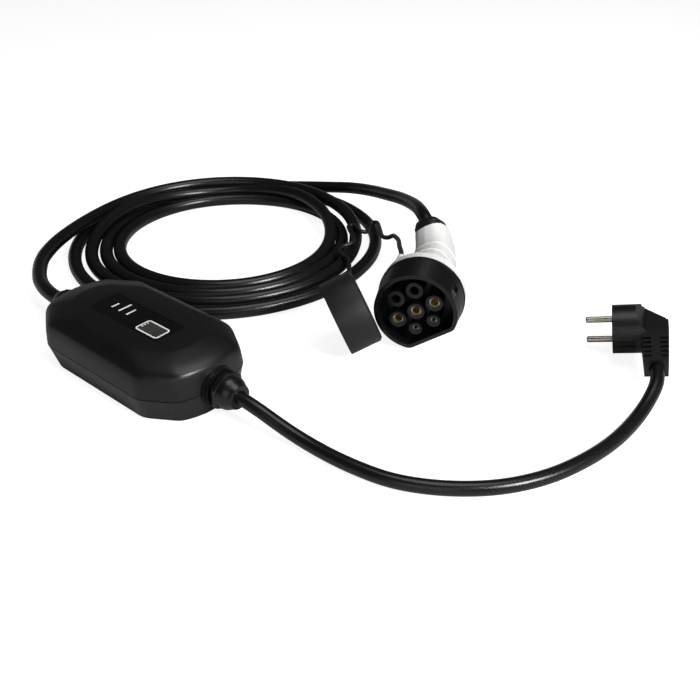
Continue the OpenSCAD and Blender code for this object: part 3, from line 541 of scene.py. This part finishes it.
def handle_line(name, s, w, h, y, lean, aside=0.0, look=pc_white):
    """A bead s behind the rim: half width w, half height h, bend y, lean in degrees, and its shift to the side."""
    bead = []
    for k in range(BEAD_POINTS):
        a = 2 * math.pi * k / BEAD_POINTS
        c, t = (math.copysign(abs(f(a)) ** BEAD_POWER, f(a)) for f in (math.cos, math.sin))
        bead.append(conn_pt(aside + w * c, y + h * t * math.cos(math.radians(lean)),
                            s + h * t * math.sin(math.radians(lean))))
    ob = cable(name, bead, BEAD_D, look)
    ob.data.splines[0].use_cyclic_u = True
    bpy.ops.object.convert(target="MESH")


handle_line("handle_line_front", s=72, w=17.75, h=18.55, y=0, lean=0)
handle_line("handle_line_back", s=90, w=16.35, h=17.15, y=-0.4, lean=7)
handle_line("boot_line", s=122.2, w=12.4, h=12.8, y=-18.1, lean=43, aside=0.6, look=tpe_black)


# stage: a pale floor that the camera sees as white, a white horizon under a dim ceiling, soft boxes
FLOOR_SIZE, FLOOR_DROP = 12.0, 0.4        # metres; mm below the part, so that no faces coincide
FLOOR_GLOW, FLOOR_SHEEN = 0.875, 0.04     # its own light for the camera and in reflections
HORIZON, CEILING = 0.55, 0.045            # the surroundings' light on the part
HORIZON_RISE = 0.16                       # how far up the horizon fades into the ceiling


def rays(tree):
    """Two sockets: whether the camera looks there, also through glass, and whether a reflection does."""
    ray = add(tree, "ShaderNodeLightPath")
    shown = add(tree, "ShaderNodeMath", {0: ray.outputs["Is Camera Ray"], 1: ray.outputs["Is Transmission Ray"]},
                operation="MAXIMUM")
    return shown.outputs[0], ray.outputs["Is Glossy Ray"]


bpy.ops.object.select_all(action="DESELECT")
bpy.ops.mesh.primitive_plane_add(size=FLOOR_SIZE, location=(0, 0, -FLOOR_DROP * MM))
floor = bpy.context.object
floor.name = "floor"
pale = bpy.data.materials.new("floor_pale")
pale.use_nodes = True
ft = pale.node_tree
board = ft.nodes["Principled BSDF"]
board.inputs["Base Color"].default_value = srgb("b4b4b4")
board.inputs["Roughness"].default_value = 0.9
board.inputs["Emission Color"].default_value = (1.0, 1.0, 1.0, 1.0)
shown, mirrored = rays(ft)
glow = add(ft, "ShaderNodeMath", {0: shown, 1: FLOOR_GLOW}, operation="MULTIPLY")
sheen = add(ft, "ShaderNodeMath", {0: mirrored, 1: FLOOR_SHEEN, 2: glow.outputs[0]}, operation="MULTIPLY_ADD")
ft.links.new(sheen.outputs[0], board.inputs["Emission Strength"])
floor.data.materials.append(pale)

# world: white for the camera; for the object white at the horizon and dim overhead
world = bpy.data.worlds.new("studio")
bpy.context.scene.world = world
world.use_nodes = True
wt = world.node_tree
back = wt.nodes["Background"]
back.inputs["Color"].default_value = (1.0, 1.0, 1.0, 1.0)
shown = rays(wt)[0]
sky = add(wt, "ShaderNodeTexCoord")
up = add(wt, "ShaderNodeSeparateXYZ", {0: sky.outputs["Generated"]})
dim = add(wt, "ShaderNodeMapRange", {"Value": up.outputs["Z"], "From Min": 0.0, "From Max": HORIZON_RISE,
                                     "To Min": HORIZON, "To Max": CEILING}, interpolation_type="SMOOTHSTEP")
level = add(wt, "ShaderNodeMath", {0: shown, 1: dim.outputs[0]}, operation="MAXIMUM")
wt.links.new(level.outputs[0], back.inputs["Strength"])


def softbox(name, where, target, size, watts):
    """An area lamp that looks at its target, in metres."""
    light = bpy.data.lights.new(name, "AREA")
    light.shape = "RECTANGLE"
    light.size, light.size_y = size
    light.energy = watts
    ob = bpy.data.objects.new(name, light)
    ob.location = where
    ob.rotation_euler = (Vector(target) - Vector(where)).to_track_quat("-Z", "Y").to_euler()
    bpy.context.scene.collection.objects.link(ob)


softbox("right_key", where=(1.3, 0.0, 0.9), target=(0.08, 0.12, 0.02), size=(0.42, 0.42), watts=23.0)
softbox("front_fill", where=(0.75, -1.1, 0.6), target=(0.05, 0.1, 0.02), size=(0.9, 0.9), watts=2.2)
softbox("overhead_fill", where=(0.15, 0.3, 1.5), target=(0.1, 0.15, 0), size=(0.9, 0.9), watts=6.2)
bpy.context.scene.view_settings.view_transform = "Standard"
